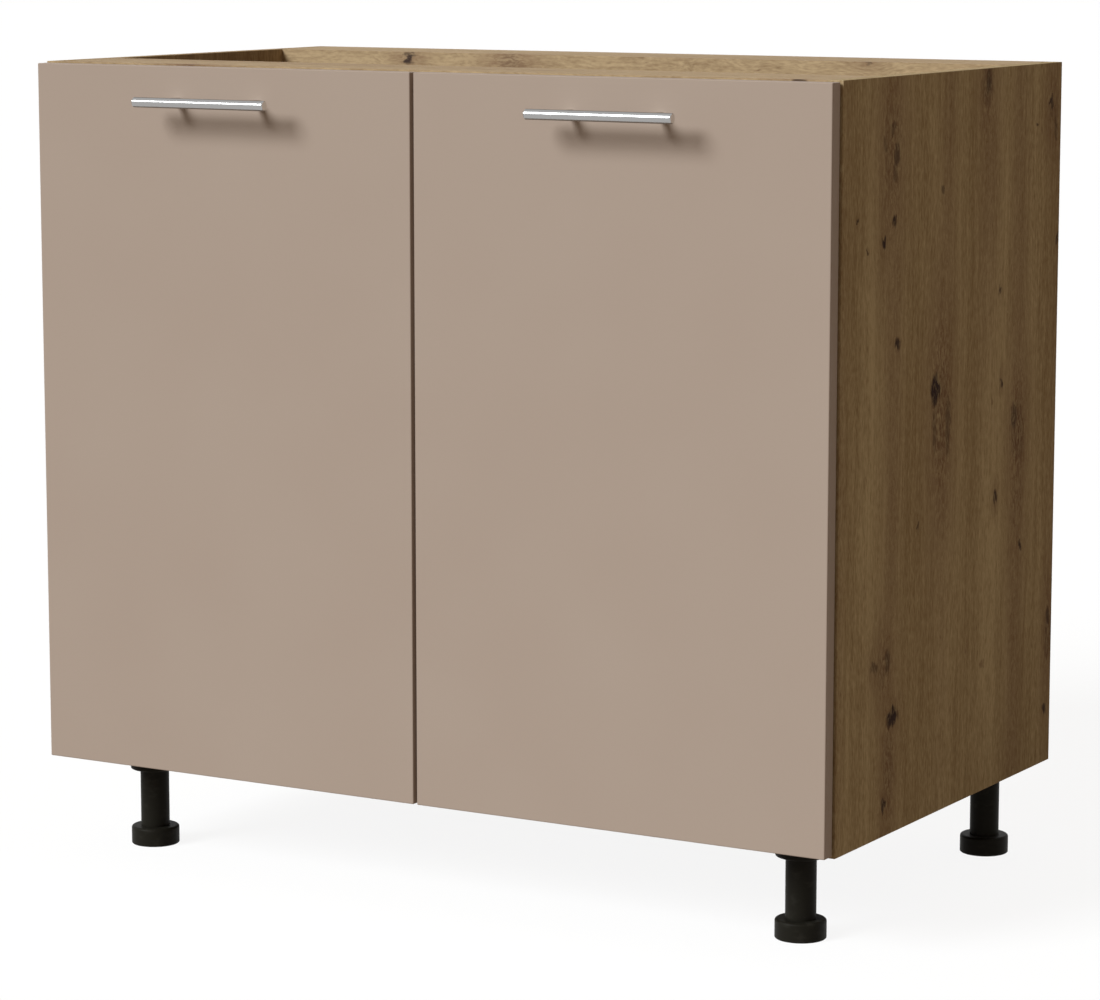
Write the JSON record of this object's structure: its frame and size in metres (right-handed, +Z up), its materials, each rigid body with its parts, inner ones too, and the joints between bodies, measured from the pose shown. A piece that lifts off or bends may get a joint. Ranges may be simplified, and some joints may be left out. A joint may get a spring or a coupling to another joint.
{
  "type": "kitchen base cabinet",
  "caption": "Kitchen base cabinet with flat taupe doors on concealed cup hinges, bar handles, oak-faced carcass with open top rails, inner shelf and black adjustable legs.",
  "frame": {"origin": "on the floor, at the middle of the whole outline, handles included", "axes": "+X to the right seen from the front, +Y to the back (doors face -Y), +Z up"},
  "size_m": [0.9, 0.557, 0.82],
  "materials": {
    "oak_board": "matt oak-grain melamine",
    "door_front": "matt taupe melamine",
    "dowel_wood": "plain beech",
    "handle_metal": "satin",
    "hinge_steel": "nickel plated",
    "pin_steel": "plain steel",
    "screw_steel": "zinc plated",
    "cam_metal": "die-cast zinc",
    "bumper_soft": "clear soft",
    "leg_plastic": "moulded black"
  },
  "bodies": {
    "cabinet": {"side_panel_left": "oak_board", "side_panel_right": "oak_board", "bottom_panel": "oak_board", "front_rail": "oak_board", "rear_rail": "oak_board", "shelf": "oak_board", "back_panel": "oak_board", "shelf_pins": "pin_steel", "dowels": "dowel_wood", "cam_bolts": "cam_metal", "cam_locks": "cam_metal", "hinge_plates_left": "hinge_steel", "hinge_arm_upper_left": "hinge_steel", "hinge_arm_lower_left": "hinge_steel", "hinge_plates_right": "hinge_steel", "hinge_arm_upper_right": "hinge_steel", "hinge_arm_lower_right": "hinge_steel", "hinge_plate_screws": "screw_steel", "hinge_arm_screws": "screw_steel", "leg_flange_screws": "screw_steel", "hinge_arm_pins": "pin_steel", "leg_column_front_left": "leg_plastic", "leg_column_front_right": "leg_plastic", "leg_column_rear_left": "leg_plastic", "leg_column_rear_right": "leg_plastic"},
    "left_inner_links": {"inner_link_upper_left": "hinge_steel", "inner_link_lower_left": "hinge_steel"},
    "left_outer_links": {"outer_link_upper_left": "hinge_steel", "outer_link_lower_left": "hinge_steel"},
    "left_door": {"door_left": "door_front", "hinge_cup_upper_left": "hinge_steel", "hinge_cup_lower_left": "hinge_steel", "cup_screws_left": "screw_steel", "cup_pins_left": "pin_steel", "handle_bar_left": "handle_metal", "handle_posts_left": "handle_metal", "handle_screws_left": "screw_steel", "door_bumpers_left": "bumper_soft"},
    "right_inner_links": {"inner_link_upper_right": "hinge_steel", "inner_link_lower_right": "hinge_steel"},
    "right_outer_links": {"outer_link_upper_right": "hinge_steel", "outer_link_lower_right": "hinge_steel"},
    "right_door": {"door_right": "door_front", "hinge_cup_upper_right": "hinge_steel", "hinge_cup_lower_right": "hinge_steel", "cup_screws_right": "screw_steel", "cup_pins_right": "pin_steel", "handle_bar_right": "handle_metal", "handle_posts_right": "handle_metal", "handle_screws_right": "screw_steel", "door_bumpers_right": "bumper_soft"},
    "front_left_spindle": {"foot_spindle_front_left": "leg_plastic"},
    "front_left_foot": {"foot_pad_front_left": "leg_plastic"},
    "front_right_spindle": {"foot_spindle_front_right": "leg_plastic"},
    "front_right_foot": {"foot_pad_front_right": "leg_plastic"},
    "rear_left_spindle": {"foot_spindle_rear_left": "leg_plastic"},
    "rear_left_foot": {"foot_pad_rear_left": "leg_plastic"},
    "rear_right_spindle": {"foot_spindle_rear_right": "leg_plastic"},
    "rear_right_foot": {"foot_pad_rear_right": "leg_plastic"}
  },
  "joints": [
    {"name": "left_inner_links_turn", "type": "hinge", "parent": "cabinet", "child": "left_inner_links", "pos_m": [-0.4186, -0.2116, 0.46], "axis": [0, 0, -1], "range_deg": [-33.4, 0]},
    {"name": "left_door_swing", "type": "hinge", "parent": "left_inner_links", "child": "left_door", "pos_m": [-0.4388, -0.2264, 0.46], "axis": [0, 0, -1], "range_deg": [0, 133.2]},
    {"name": "left_outer_links_turn", "type": "hinge", "parent": "cabinet", "child": "left_outer_links", "pos_m": [-0.414, -0.2231, 0.46], "axis": [0, 0, -1], "range_deg": [-25.6, 0]},
    {"name": "right_inner_links_turn", "type": "hinge", "parent": "cabinet", "child": "right_inner_links", "pos_m": [0.4186, -0.2116, 0.46], "axis": [0, 0, 1], "range_deg": [-33.4, 0]},
    {"name": "right_door_swing", "type": "hinge", "parent": "right_inner_links", "child": "right_door", "pos_m": [0.4388, -0.2264, 0.46], "axis": [0, 0, 1], "range_deg": [0, 133.2]},
    {"name": "right_outer_links_turn", "type": "hinge", "parent": "cabinet", "child": "right_outer_links", "pos_m": [0.414, -0.2231, 0.46], "axis": [0, 0, 1], "range_deg": [-25.6, 0]},
    {"name": "front_left_foot_travel", "type": "slide", "parent": "cabinet", "child": "front_left_spindle", "axis": [0, 0, -1], "range_m": [0, 0.0201]},
    {"name": "front_left_foot_turn", "type": "hinge", "parent": "front_left_spindle", "child": "front_left_foot", "pos_m": [-0.38, -0.1515, 0.01], "axis": [0, 0, -1], "range_deg": [0, 1800]},
    {"name": "front_right_foot_travel", "type": "slide", "parent": "cabinet", "child": "front_right_spindle", "axis": [0, 0, -1], "range_m": [0, 0.0201]},
    {"name": "front_right_foot_turn", "type": "hinge", "parent": "front_right_spindle", "child": "front_right_foot", "pos_m": [0.38, -0.1515, 0.01], "axis": [0, 0, -1], "range_deg": [0, 1800]},
    {"name": "rear_left_foot_travel", "type": "slide", "parent": "cabinet", "child": "rear_left_spindle", "axis": [0, 0, -1], "range_m": [0, 0.0201]},
    {"name": "rear_left_foot_turn", "type": "hinge", "parent": "rear_left_spindle", "child": "rear_left_foot", "pos_m": [-0.39, 0.253, 0.01], "axis": [0, 0, -1], "range_deg": [0, 1800]},
    {"name": "rear_right_foot_travel", "type": "slide", "parent": "cabinet", "child": "rear_right_spindle", "axis": [0, 0, -1], "range_m": [0, 0.0201]},
    {"name": "rear_right_foot_turn", "type": "hinge", "parent": "rear_right_spindle", "child": "rear_right_foot", "pos_m": [0.39, 0.253, 0.01], "axis": [0, 0, -1], "range_deg": [0, 1800]}
  ],
  "couplings": [
    {"joint": "left_inner_links_turn", "follows": "left_door_swing", "ratio": -0.25},
    {"joint": "left_outer_links_turn", "follows": "left_door_swing", "ratio": -0.19125},
    {"joint": "right_inner_links_turn", "follows": "right_door_swing", "ratio": -0.25},
    {"joint": "right_outer_links_turn", "follows": "right_door_swing", "ratio": -0.19125},
    {"joint": "front_left_foot_travel", "follows": "front_left_foot_turn", "m_per_rad": 0.00063662},
    {"joint": "front_right_foot_travel", "follows": "front_right_foot_turn", "m_per_rad": 0.00063662},
    {"joint": "rear_left_foot_travel", "follows": "rear_left_foot_turn", "m_per_rad": 0.00063662},
    {"joint": "rear_right_foot_travel", "follows": "rear_right_foot_turn", "m_per_rad": 0.00063662}
  ]
}
